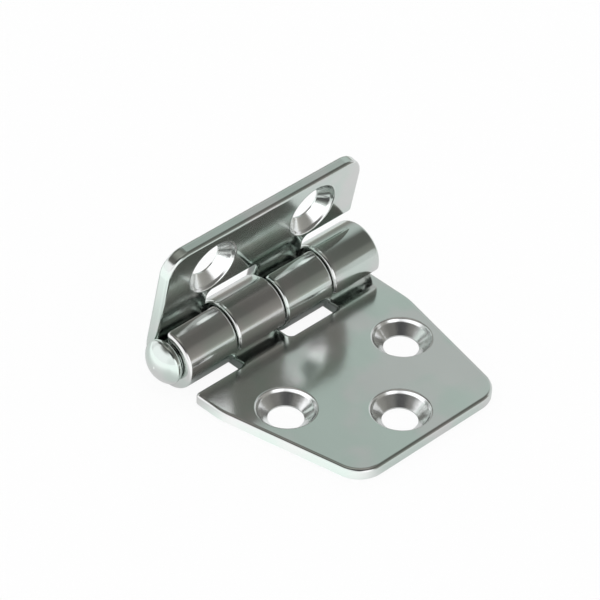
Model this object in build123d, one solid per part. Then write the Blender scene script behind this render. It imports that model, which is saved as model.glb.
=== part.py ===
from build123d import *
import os

# Short-side hinge, stamped and rolled from stainless sheet.
# Millimetres. The pin runs along X, with its domed head at the -X end.
# The long leaf lies flat, its mounting face on z = 0, and reaches towards -Y.
# The short leaf is made the same way, mirrored to +Y and swung up about the pin.
# The origin is on the mounting face, midway between the long leaf's two inner screw holes.

# Sheet, pin and barrel
sheet = 2.0
pin_diameter = 5.3
pin_clearance = 0.05
barrel_length = 38.0
knuckle_count = 4
knuckle_gap = 0.25
curl_wrap = 287.0
leaf_angle = 80.0

# Long leaf, from the pin's centre line and from its own edges
long_reach = 33.7
long_straight = 10.8
long_taper = 5.1
long_corner = 4.5
long_shoulder = 9.0
inner_row = 16.4
inner_side_margin = 7.4
outer_end_margin = 6.3

# Short leaf
short_reach = 16.9
short_corner = 3.5
short_side_margin = 9.2
short_end_margin = 6.0

# Slots that clear the other leaf's knuckles
slot_clearance = 0.9
slot_corner = 0.8
slot_mouth_corner = 0.7

# Screw holes
screw_hole = 5.2
countersink_width = 8.8
countersink_angle = 90.0
countersink_round = 0.4

# Softened sheet edges
edge_round = 0.55
curl_corner = 0.7

# Pin head and riveted end, the overhangs beyond the shank all round
head_overhang = 0.75
head_rim = 0.8
head_dome = 1.7
head_shoulder = 0.6
head_back_round = 0.3
head_play = 0.25
rivet_overhang = 0.85
rivet_height = 0.9

# Sizes that follow from these
knuckle_inner = pin_diameter / 2 + pin_clearance
knuckle_outer = knuckle_inner + sheet
knuckle_middle = knuckle_inner + sheet / 2
knuckle_pitch = barrel_length / knuckle_count
slot_reach = knuckle_outer + slot_clearance
half_barrel = barrel_length / 2
pin_line = Axis((0, 0, knuckle_outer), (1, 0, 0))
short_knuckles = range(0, knuckle_count, 2)
long_knuckles = range(1, knuckle_count, 2)


def near(first, second):
    return abs(first - second) < 1e-4


def knuckle_ends(number):
    """Both ends of a knuckle along X, counted from the pin head. The outermost ends are the barrel's."""
    left = number * knuckle_pitch - half_barrel
    right = left + knuckle_pitch
    if number > 0:
        left += knuckle_gap / 2
    if number < knuckle_count - 1:
        right -= knuckle_gap / 2
    return left, right


def knuckle(number):
    """Sheet rolled round the pin from the leaf's mounting side. Its cut end stands off the leaf's face."""
    left, right = knuckle_ends(number)
    path = CenterArc((0, knuckle_outer), knuckle_middle, -90, curl_wrap)
    rolled = extrude(Plane.YZ.offset(left) * trace(path, sheet), right - left)
    cut_end = Plane.YZ.offset((left + right) / 2).from_local_coords(path @ 1)
    corners = rolled.edges().filter_by(lambda edge: near(edge.length, sheet))
    return fillet(corners.sort_by_distance(cut_end)[:2], curl_corner)


def slot(number):
    """Opening round a knuckle of the other leaf. At the barrel's ends it runs out of the leaf's side."""
    left = number * knuckle_pitch - half_barrel - knuckle_gap / 2
    right = left + knuckle_pitch + knuckle_gap
    if number == 0:
        left -= knuckle_pitch
    if number == knuckle_count - 1:
        right += knuckle_pitch
    return Pos((left + right) / 2, 0) * Rectangle(right - left, 2 * slot_reach)


def rounded(face, radius, is_corner):
    return fillet(face.vertices().filter_by(is_corner), radius)


def slotted(face, numbers):
    """Cuts the slots and rounds their inner corners and, at an open end, the corner of the mouth."""
    for number in numbers:
        face -= slot(number)
    face = rounded(face, slot_corner, lambda v: near(v.Y, -slot_reach) and not near(abs(v.X), half_barrel))
    return rounded(face, slot_mouth_corner, lambda v: near(v.Y, -slot_reach) and near(abs(v.X), half_barrel))


def leaf(flat, knuckles):
    """Flat sheet with its knuckles rolled on and every outer edge softened."""
    solid = extrude(flat, sheet)
    for number in knuckles:
        solid += knuckle(number)
    across_sheet = solid.edges().filter_by(lambda edge: near(edge.length, sheet))
    start_of_roll = solid.edges().filter_by(Axis.X).filter_by(lambda edge: near(edge.center().Y, 0))
    return fillet(solid.edges() - across_sheet - start_of_roll, edge_round)


def drilled(solid, centres):
    """Countersunk screw holes, open to the side that the knuckles stand on, their rims polished round."""
    for x, y in centres:
        hole = CounterSinkHole(screw_hole / 2, countersink_width / 2, 2 * sheet, countersink_angle)
        solid -= Pos(x, y, sheet) * hole
    circles = solid.edges().filter_by(GeomType.CIRCLE)
    rims = circles.filter_by(lambda edge: near(edge.radius, countersink_width / 2))
    return fillet(rims.filter_by(lambda edge: near(edge.center().Z, sheet)), countersink_round)


def long_leaf():
    end = half_barrel - long_taper
    outline = [(-half_barrel, 0), (-half_barrel, -long_straight), (-end, -long_reach)]
    outline += [(-x, y) for x, y in reversed(outline)]
    flat = make_face(Polyline(*outline, close=True))
    flat = rounded(flat, long_corner, lambda v: near(v.Y, -long_reach))
    flat = rounded(flat, long_shoulder, lambda v: near(v.Y, -long_straight))
    solid = leaf(slotted(flat, short_knuckles), long_knuckles)
    inner = half_barrel - inner_side_margin
    outer = long_reach - outer_end_margin
    return drilled(solid, [(-inner, -inner_row), (inner, -inner_row), (0, -outer)])


def short_leaf():
    flat = Pos(0, -short_reach / 2) * Rectangle(barrel_length, short_reach)
    flat = rounded(flat, short_corner, lambda v: near(v.Y, -short_reach))
    solid = leaf(slotted(flat, long_knuckles), short_knuckles)
    side = half_barrel - short_side_margin
    row = short_reach - short_end_margin
    solid = drilled(solid, [(-side, -row), (side, -row)])
    return mirror(solid, Plane.XZ).rotate(pin_line, 180 - leaf_angle)


def hinge_pin():
    """Turned about its own axis: domed head, plain shank, far end riveted over against the last knuckle."""
    radius = pin_diameter / 2
    head = radius + head_overhang
    rivet = radius + rivet_overhang
    seat = -half_barrel - head_play
    rim = seat - head_rim
    crown = rim - head_dome
    tail = half_barrel + rivet_height
    profile = TangentArc((crown, 0), (rim, head), tangent=(0, 1))
    profile += Polyline((rim, head), (seat, head), (seat, radius), (half_barrel, radius), (half_barrel, rivet))
    profile += TangentArc((tail, 0), (half_barrel, rivet), tangent=(0, 1))
    profile += Line((tail, 0), (crown, 0))
    section = make_face(profile)
    section = rounded(section, head_shoulder, lambda v: near(v.X, rim) and near(v.Y, head))
    section = rounded(section, head_back_round, lambda v: near(v.X, seat) and near(v.Y, head))
    return Pos(0, 0, knuckle_outer) * revolve(Plane.XZ * section, Axis.X)


os.makedirs("parts", exist_ok=True)
nodes = {"long_leaf": long_leaf(), "short_leaf": short_leaf(), "hinge_pin": hinge_pin()}
for name, solid in nodes.items():
    export_step(Pos(0, inner_row, 0) * solid, f"parts/{name}.step")
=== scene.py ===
from math import cos, radians, sin

import bpy
from mathutils import Matrix, Vector

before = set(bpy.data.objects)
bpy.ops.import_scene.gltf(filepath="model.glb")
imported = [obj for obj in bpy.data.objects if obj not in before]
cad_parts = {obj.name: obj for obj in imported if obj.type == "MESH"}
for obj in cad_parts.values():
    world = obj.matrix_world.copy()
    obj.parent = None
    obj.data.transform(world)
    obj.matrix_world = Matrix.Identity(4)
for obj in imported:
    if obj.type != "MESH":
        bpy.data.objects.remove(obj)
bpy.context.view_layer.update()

# Camera fitted to the photograph: where it looks, from which side, and how it was tilted
CAMERA_AZIMUTH = -46.5
CAMERA_ELEVATION = 38.8
CAMERA_ROLL = 2.96
CAMERA_TARGET = Vector((0.00242, 0.01175, 0.00668))
CAMERA_DISTANCE = 0.4879
FOCAL_PX = 3419
IMAGE_PX = 600
SENSOR_MM = 36
NEAR_CLIP = 0.01

# Hinge sizes that the finishes and the floor's glow follow, in metres
PIN_Y = 0.0164
PIN_Z = 0.0047
LEAF_SWING = radians(100)
HOLE_RADIUS = 0.0026
STEP_RADIUS = 0.0039
COUNTERSINK_RADIUS = 0.0044
RIM_RADIUS = 0.0046
LONG_HOLES = ((-0.0116, 0.0), (0.0116, 0.0), (0.0, -0.011))
SHORT_HOLES = ((-0.0098, 0.0109), (0.0098, 0.0109))

# Stainless steel, the tints that its polish runs between, and the countersinks' cut metal, whose brighter
# colour is a painted sheen
GREEN_STEEL = (0.62, 0.69, 0.65, 1)
WARM_STEEL = (0.69, 0.69, 0.68, 1)
CUT_STEEL_PAINTED_SHEEN = (0.88, 0.90, 0.89, 1)

# Patches of the polish: the noise's scale, the stretch of its values that counts, and what it changes
ROUGH_PATCHES = 90.0
ROUGH_STRETCH = (0.3, 0.7)
POLISH_ROUGHNESS = (0.11, 0.18)
TINT_PATCHES = 110.0
TINT_STRETCH = (0.4, 0.62)
WAVES = 160.0
WAVE_DEPTH = 0.0001
WAVE_STRENGTH = 0.3

# The countersinks' finish, which starts just clear of the mounting face
FINISH_STARTS = 0.0001
FINISH_FULL = 0.0002
CUT_ROUGHNESS = 0.05
STEP_DEPTH = 0.00013
CHATTER_MARKS = 900.0
CHATTER_SHARE = 0.12

# Floor: its colour, the share of the camera's view of it that is clear, the share of polished metal's view
# of it that is glow, and that glow
FLOOR_HALF_WIDTH = 1.5
FLOOR_COLOUR = (0.9, 0.9, 0.9, 1)
CAMERA_SHARE = 0.93
MIRROR_SHARE = 0.6
FLOOR_GLOW = 0.82
MIRRORED_FLOOR = (0.98, 1.0, 1.0, 1)

# Where that glow changes, each as start and end in metres, then the value before and the value after.
# It is stronger to the front left, far to the left and far away (painted light), and weaker under the
# barrel and in holes (painted shadow).
FRONT_LEFT_X = (-0.016, -0.008, 1.0, 0.0)
FRONT_LEFT_Y = (0.004, 0.013, 1.0, 0.0)
FRONT_LEFT_GLOW = 0.9
FAR_LEFT_X = (-0.042, -0.023, 0.9, 0.0)
FAR_AWAY = (0.1, 0.4, 0.0, 0.5)
UNDER_BARREL_X = (0.015, 0.019, 1.0, 0.0)
UNDER_BARREL_Y = (0.010, 0.013, 1.0, 0.0)
UNDER_BARREL_MIDDLE_Y = 0.019
UNDER_BARREL_SHADE = 0.85
HOLE_SHADOW = (HOLE_RADIUS, 0.0032, 0.35, 0.0)

# The room as polished metal mirrors it: tints, and brightness against the sine of the elevation
SHADE_TINT = (1.03, 1.0, 0.93)
WALL_TINT = (0.92, 1.0, 0.97)
CARD_TINT = (0.99, 0.98, 1.0)
HORIZON_LEVEL = 0.62
ROOM_LEVELS = (
    (0.06, 0.45),
    (0.12, 0.34),
    (0.2, 0.31),
    (0.42, 0.25),
    (0.54, 0.22),
    (0.63, 0.14),
    (0.83, 0.13),
)
CEILING_LEVEL = 0.42

# Soft round cards in that room, each over the ones before. In degrees: azimuth from +X towards +Y,
# elevation, and how far from its middle it starts to fade and is gone. Then brightness and tint.
PANELS = (
    (28, 32, 4, 30, 0.67, WALL_TINT),
    (98, 12, 8, 25, 1.2, CARD_TINT),
    (0, 6, 10, 26, 0.85, CARD_TINT),
    (-105, 9, 14, 30, 1.5, CARD_TINT),
    (-135, 52, 8, 28, 0.05, CARD_TINT),
    (140, 11, 15, 31, 1.3, CARD_TINT),
    (160, 11, 15, 31, 1.3, CARD_TINT),
    (180, 11, 15, 31, 1.3, CARD_TINT),
    (-160, 11, 15, 31, 1.3, CARD_TINT),
    (-142, 6, 10, 28, 1.15, CARD_TINT),
)

# Small card standing to the right of the hinge, in metres
CARD_NEAR_END = Vector((0.040, -0.016, 0.004))
CARD_FAR_END = Vector((0.040, -0.031, 0.004))
CARD_RISE = Vector((0, 0, 0.014))
CARD_GLOW = 0.75


def add_camera():
    """Camera with the focal length, place and tilt fitted to the photograph."""
    azimuth, elevation, roll = (radians(v) for v in (CAMERA_AZIMUTH, CAMERA_ELEVATION, CAMERA_ROLL))
    back = Vector((sin(azimuth) * cos(elevation), -cos(azimuth) * cos(elevation), sin(elevation)))
    level = Vector((cos(azimuth), sin(azimuth), 0))
    upright = back.cross(level)
    right = level * cos(roll) + upright * sin(roll)
    up = upright * cos(roll) - level * sin(roll)
    data = bpy.data.cameras.new("camera")
    data.sensor_width = SENSOR_MM
    data.lens = FOCAL_PX / IMAGE_PX * SENSOR_MM
    data.clip_start = NEAR_CLIP
    camera = bpy.data.objects.new("camera", data)
    turned = Matrix((right, up, back)).transposed().to_4x4()
    camera.matrix_world = Matrix.Translation(CAMERA_TARGET + back * CAMERA_DISTANCE) @ turned
    bpy.context.scene.collection.objects.link(camera)
    bpy.context.scene.camera = camera


class Nodes:
    """A short way to build a node tree. An input is given by name, or by number as i0, i1 and so on."""

    def __init__(self, tree):
        self.tree = tree
        tree.nodes.clear()

    def add(self, kind, settings=None, **inputs):
        node = self.tree.nodes.new("ShaderNode" + kind)
        for name, value in (settings or {}).items():
            setattr(node, name, value)
        for name, value in inputs.items():
            numbered = name[0] == "i" and name[1:].isdigit()
            self.put(node.inputs[int(name[1:]) if numbered else name], value)
        return node

    def put(self, socket, value):
        if isinstance(value, bpy.types.NodeSocket):
            self.tree.links.new(value, socket)
        else:
            socket.default_value = value

    def math(self, operation, *values):
        node = self.add("Math", {"operation": operation})
        for socket, value in zip(node.inputs, values):
            self.put(socket, value)
        return node.outputs[0]


def ramp_between(n, value, low, high, at_low, at_high):
    """Smooth change from one value to another as the input goes from low to high."""
    node = n.add("MapRange", {"interpolation_type": "SMOOTHSTEP"}, Value=value)
    n.put(node.inputs["From Min"], low)
    n.put(node.inputs["From Max"], high)
    n.put(node.inputs["To Min"], at_low)
    n.put(node.inputs["To Max"], at_high)
    return node.outputs[0]


def distance_to_nearest(n, split, centres):
    """Distance, level with the sheet, from the nearest of the given hole centres."""
    flat = n.add("CombineXYZ", X=split.outputs["X"], Y=split.outputs["Y"])
    nearest = None
    for x, y in centres:
        away = n.add("VectorMath", {"operation": "DISTANCE"}, i0=flat.outputs[0], i1=(x, y, 0))
        away = away.outputs["Value"]
        nearest = away if nearest is None else n.math("MINIMUM", nearest, away)
    return nearest


def polished_steel(name, leaf_swing=None, holes=()):
    """Polished stainless steel. Round the given hole centres the countersinks are rougher cut metal with a
    step just under the rim, and their brighter colour there is a painted sheen. The short leaf's holes are
    given as they lie before leaf_swing turns it up about the pin."""
    material = bpy.data.materials.new(name)
    material.use_nodes = True
    n = Nodes(material.node_tree)
    place = n.add("TexCoord").outputs["Object"]
    if leaf_swing is not None:
        place = n.add("Mapping", {"vector_type": "TEXTURE"}, Vector=place, Location=(0, PIN_Y, PIN_Z),
                      Rotation=(leaf_swing, 0, 0)).outputs[0]
    cloud = n.add("TexNoise", Vector=place, Scale=ROUGH_PATCHES, Detail=3.0)
    rough = ramp_between(n, cloud.outputs["Fac"], *ROUGH_STRETCH, *POLISH_ROUGHNESS)
    tint = n.add("TexNoise", Vector=place, Scale=TINT_PATCHES, Detail=2.0)
    warmth = ramp_between(n, tint.outputs["Fac"], *TINT_STRETCH, 0.0, 1.0)
    colour = n.add("MixRGB", Fac=warmth, Color1=GREEN_STEEL, Color2=WARM_STEEL).outputs[0]
    wave = n.add("TexNoise", Vector=place, Scale=WAVES, Detail=2.0)
    bump = n.add("Bump", Strength=WAVE_STRENGTH, Distance=WAVE_DEPTH, Height=wave.outputs["Fac"])
    if holes:
        split = n.add("SeparateXYZ", Vector=place)
        away = distance_to_nearest(n, split, holes)
        back = -PIN_Z if leaf_swing else 0.0
        off_back = ramp_between(n, split.outputs["Z"], back + FINISH_STARTS, back + FINISH_FULL, 0.0, 1.0)
        inside = ramp_between(n, away, COUNTERSINK_RADIUS, RIM_RADIUS, 1.0, 0.0)
        inside = n.math("MULTIPLY", off_back, inside)
        rough = n.math("ADD", rough, n.math("MULTIPLY", inside, CUT_ROUGHNESS))
        # Painted sheen: the countersinks take a brighter colour than the steel around them.
        colour = n.add("MixRGB", Fac=inside, Color1=colour, Color2=CUT_STEEL_PAINTED_SHEEN).outputs[0]
        step = ramp_between(n, away, STEP_RADIUS, COUNTERSINK_RADIUS, 0.0, 1.0)
        step = n.math("MULTIPLY", off_back, step)
        chatter = n.add("TexNoise", Vector=place, Scale=CHATTER_MARKS, Detail=2.0)
        chatter = n.math("MULTIPLY", chatter.outputs["Fac"], n.math("MULTIPLY", inside, CHATTER_SHARE))
        height = n.math("ADD", step, chatter)
        bump = n.add("Bump", Strength=1.0, Distance=STEP_DEPTH, Height=height, Normal=bump.outputs[0])
    shader = n.add("BsdfPrincipled", Metallic=1.0, Roughness=rough)
    n.put(shader.inputs["Base Color"], colour)
    n.put(shader.inputs["Normal"], bump.outputs[0])
    n.add("OutputMaterial", Surface=shader.outputs[0])
    return material


def dress(node, material):
    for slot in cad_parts[node].material_slots:
        slot.material = material


def floor_glow(n, place):
    """Strength of the floor's light as polished metal mirrors it, by place, with painted pools of light and
    painted shadow in it.
    """
    split = n.add("SeparateXYZ", Vector=place)
    x, y = split.outputs["X"], split.outputs["Y"]
    away = n.add("VectorMath", {"operation": "LENGTH"}, i0=place)
    # Painted pools of light: the glow is stronger to the front left, far to the left and far away.
    front_left = n.math("MULTIPLY", ramp_between(n, x, *FRONT_LEFT_X), ramp_between(n, y, *FRONT_LEFT_Y))
    front_left = n.math("MULTIPLY", front_left, FRONT_LEFT_GLOW)
    far_left = ramp_between(n, x, *FAR_LEFT_X)
    far_away = ramp_between(n, away.outputs["Value"], *FAR_AWAY)
    lit = n.math("ADD", FLOOR_GLOW, n.math("MAXIMUM", front_left, n.math("MAXIMUM", far_left, far_away)))
    # Painted shadow: the glow is weaker under the barrel and round the long leaf's holes.
    under_x = ramp_between(n, n.math("ABSOLUTE", x), *UNDER_BARREL_X)
    from_middle = n.math("ABSOLUTE", n.math("SUBTRACT", y, UNDER_BARREL_MIDDLE_Y))
    under = n.math("MULTIPLY", under_x, ramp_between(n, from_middle, *UNDER_BARREL_Y))
    hole_shadow = ramp_between(n, distance_to_nearest(n, split, LONG_HOLES), *HOLE_SHADOW)
    shaded = n.math("MAXIMUM", n.math("MULTIPLY", under, UNDER_BARREL_SHADE), hole_shadow)
    return n.math("MULTIPLY", lit, n.math("SUBTRACT", 1.0, shaded))


def add_floor():
    """Pale floor. To the camera it is clear apart from the hinge's shadow, so the white room shows through
    it, and so does the short leaf when it is swung down past the mounting face. Polished metal mirrors its
    glow."""
    half = FLOOR_HALF_WIDTH
    corners = [(-half, -half, 0), (half, -half, 0), (half, half, 0), (-half, half, 0)]
    mesh = bpy.data.meshes.new("floor")
    mesh.from_pydata(corners, [], [(0, 1, 2, 3)])
    floor = bpy.data.objects.new("floor", mesh)
    bpy.context.scene.collection.objects.link(floor)
    material = bpy.data.materials.new("studio floor")
    material.use_nodes = True
    n = Nodes(material.node_tree)
    place = n.add("TexCoord").outputs["Object"]
    path = n.add("LightPath")
    camera = path.outputs["Is Camera Ray"]
    mirrored = n.math("MAXIMUM", path.outputs["Is Glossy Ray"], path.outputs["Is Transmission Ray"])
    matte = n.add("BsdfDiffuse", Color=FLOOR_COLOUR)
    glow = n.add("Emission", Color=MIRRORED_FLOOR, Strength=floor_glow(n, place))
    clear = n.add("BsdfTransparent")
    bright = n.add("MixShader", Fac=camera, i1=glow.outputs[0], i2=clear.outputs[0])
    camera_share = n.math("MULTIPLY", camera, CAMERA_SHARE)
    mirror_share = n.math("MULTIPLY", mirrored, MIRROR_SHARE)
    share = n.math("ADD", camera_share, mirror_share)
    mix = n.add("MixShader", Fac=share, i1=matte.outputs[0], i2=bright.outputs[0])
    n.add("OutputMaterial", Surface=mix.outputs[0])
    mesh.materials.append(material)


def tinted(tint, level):
    return tuple(level * part for part in tint) + (1,)


def toward(azimuth, elevation):
    """Unit vector at an azimuth counted from +X towards +Y and an elevation, both in degrees."""
    azimuth, elevation = radians(azimuth), radians(elevation)
    return cos(azimuth) * cos(elevation), sin(azimuth) * cos(elevation), sin(elevation)


def add_panel(n, shade, direction, azimuth, elevation, core, edge, brightness, tint):
    """Soft round card in the room: full brightness within core degrees of its middle, none beyond edge."""
    middle = toward(azimuth, elevation)
    facing = n.add("VectorMath", {"operation": "DOT_PRODUCT"}, i0=direction, i1=middle)
    cover = n.add("MapRange", {"interpolation_type": "SMOOTHSTEP"}, Value=facing.outputs["Value"])
    n.put(cover.inputs["From Min"], cos(radians(edge)))
    n.put(cover.inputs["From Max"], cos(radians(core)))
    mix = n.add("MixRGB", Fac=cover.outputs[0], Color1=shade, Color2=tinted(tint, brightness))
    return mix.outputs[0]


def add_world():
    """White all round, except that polished metal sees a dark room with soft cards and a bright horizon."""
    world = bpy.data.worlds.new("studio")
    bpy.context.scene.world = world
    world.use_nodes = True
    n = Nodes(world.node_tree)
    direction = n.add("TexCoord").outputs["Generated"]
    height = n.add("SeparateXYZ", Vector=direction).outputs["Z"]
    ramp = n.add("ValToRGB", Fac=height)
    stops = ramp.color_ramp.elements
    stops[0].color = tinted(SHADE_TINT, HORIZON_LEVEL)
    stops[1].color = tinted(SHADE_TINT, CEILING_LEVEL)
    for position, level in ROOM_LEVELS:
        stops.new(position).color = tinted(SHADE_TINT, level)
    shade = ramp.outputs[0]
    for panel in PANELS:
        shade = add_panel(n, shade, direction, *panel)
    path = n.add("LightPath")
    plain = n.add("Background", Color=(1, 1, 1, 1), Strength=1.0)
    studio = n.add("Background", Color=shade, Strength=1.0)
    mix = n.add("MixShader", Fac=path.outputs["Is Glossy Ray"], i1=plain.outputs[0], i2=studio.outputs[0])
    n.add("OutputWorld", Surface=mix.outputs[0])


def add_card():
    """White card standing to the right of the hinge, seen only as a reflection."""
    mesh = bpy.data.meshes.new("card")
    corners = [CARD_NEAR_END, CARD_FAR_END, CARD_FAR_END + CARD_RISE, CARD_NEAR_END + CARD_RISE]
    mesh.from_pydata(corners, [], [(0, 1, 2, 3)])
    card = bpy.data.objects.new("card", mesh)
    bpy.context.scene.collection.objects.link(card)
    card.visible_camera = False
    card.visible_diffuse = False
    card.visible_shadow = False
    material = bpy.data.materials.new("card")
    material.use_nodes = True
    n = Nodes(material.node_tree)
    glow = n.add("Emission", Color=(1, 1, 1, 1), Strength=CARD_GLOW)
    n.add("OutputMaterial", Surface=glow.outputs[0])
    mesh.materials.append(material)


bpy.context.scene.view_settings.view_transform = "Standard"
add_camera()
add_world()
add_floor()
add_card()
dress("long_leaf", polished_steel("polished long leaf", holes=LONG_HOLES))
dress("short_leaf", polished_steel("polished short leaf", LEAF_SWING, SHORT_HOLES))
dress("hinge_pin", polished_steel("polished pin"))
